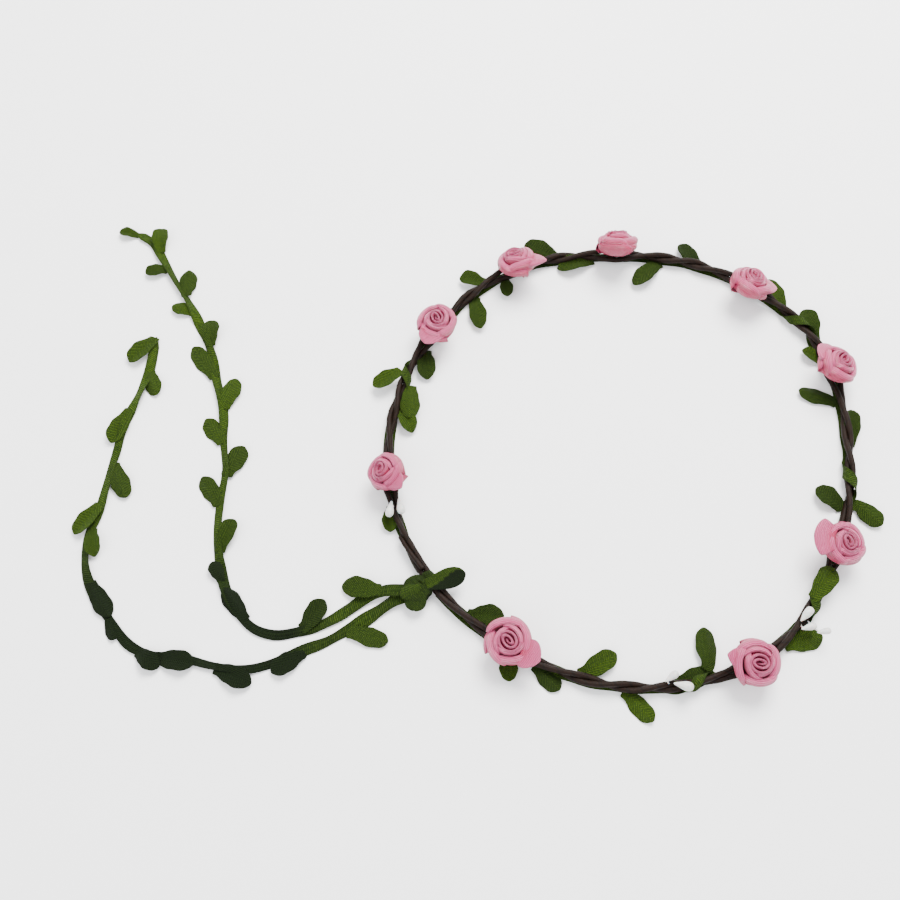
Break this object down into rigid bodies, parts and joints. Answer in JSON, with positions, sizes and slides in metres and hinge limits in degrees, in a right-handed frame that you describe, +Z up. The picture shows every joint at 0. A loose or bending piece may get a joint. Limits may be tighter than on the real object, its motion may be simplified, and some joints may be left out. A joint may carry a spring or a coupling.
{
  "type": "flower crown",
  "caption": "Ring of two twisted paper-wrapped wires with ribbon roses, leaf trim and pips, and two free leafy tie tails at a knot.",
  "frame": {"origin": "middle of the head opening, on the surface that the crown lies on", "axes": "+Z up out of the head opening, roses on the +Z side; +X to the wearer's side opposite the tails, tails on the -X side"},
  "size_m": [0.305, 0.2077, 0.0214],
  "materials": {
    "rose_satin": "satin",
    "leaf_cloth": "matte",
    "paper_wrap": "satin",
    "core_wire": "satin",
    "pip_plaster": "matte"
  },
  "bodies": {
    "crown": {"strand_a": "paper_wrap", "strand_b": "paper_wrap", "strand_end": "paper_wrap", "wire_a": "core_wire", "wire_b": "core_wire", "ring_stem": "leaf_cloth", "ring_leaves": "leaf_cloth", "knot": "leaf_cloth", "rose_1": "rose_satin", "rose_2": "rose_satin", "rose_3": "rose_satin", "rose_4": "rose_satin", "rose_5": "rose_satin", "rose_6": "rose_satin", "rose_7": "rose_satin", "rose_8": "rose_satin", "rose_9": "rose_satin", "foot_1": "paper_wrap", "foot_2": "paper_wrap", "foot_3": "paper_wrap", "foot_4": "paper_wrap", "foot_5": "paper_wrap", "foot_6": "paper_wrap", "foot_7": "paper_wrap", "foot_8": "paper_wrap", "foot_9": "paper_wrap", "pips_side": "pip_plaster", "pips_front": "pip_plaster", "pips_corner": "pip_plaster"},
    "tail_a": {"tail_a": "leaf_cloth", "tail_a_eye": "leaf_cloth", "tail_a_leaves": "leaf_cloth"},
    "tail_b": {"tail_b": "leaf_cloth", "tail_b_eye": "leaf_cloth", "tail_b_leaves": "leaf_cloth"}
  },
  "joints": [
    {"name": "tail_a_swing", "type": "hinge", "parent": "crown", "child": "tail_a", "pos_m": [-0.0801, -0.0582, 0.004], "axis": [0, 0, 1], "range_deg": [-25, 0]},
    {"name": "tail_b_swing", "type": "hinge", "parent": "crown", "child": "tail_b", "pos_m": [-0.0801, -0.0582, 0.003], "axis": [0, 0, 1], "range_deg": [0, 25]}
  ]
}
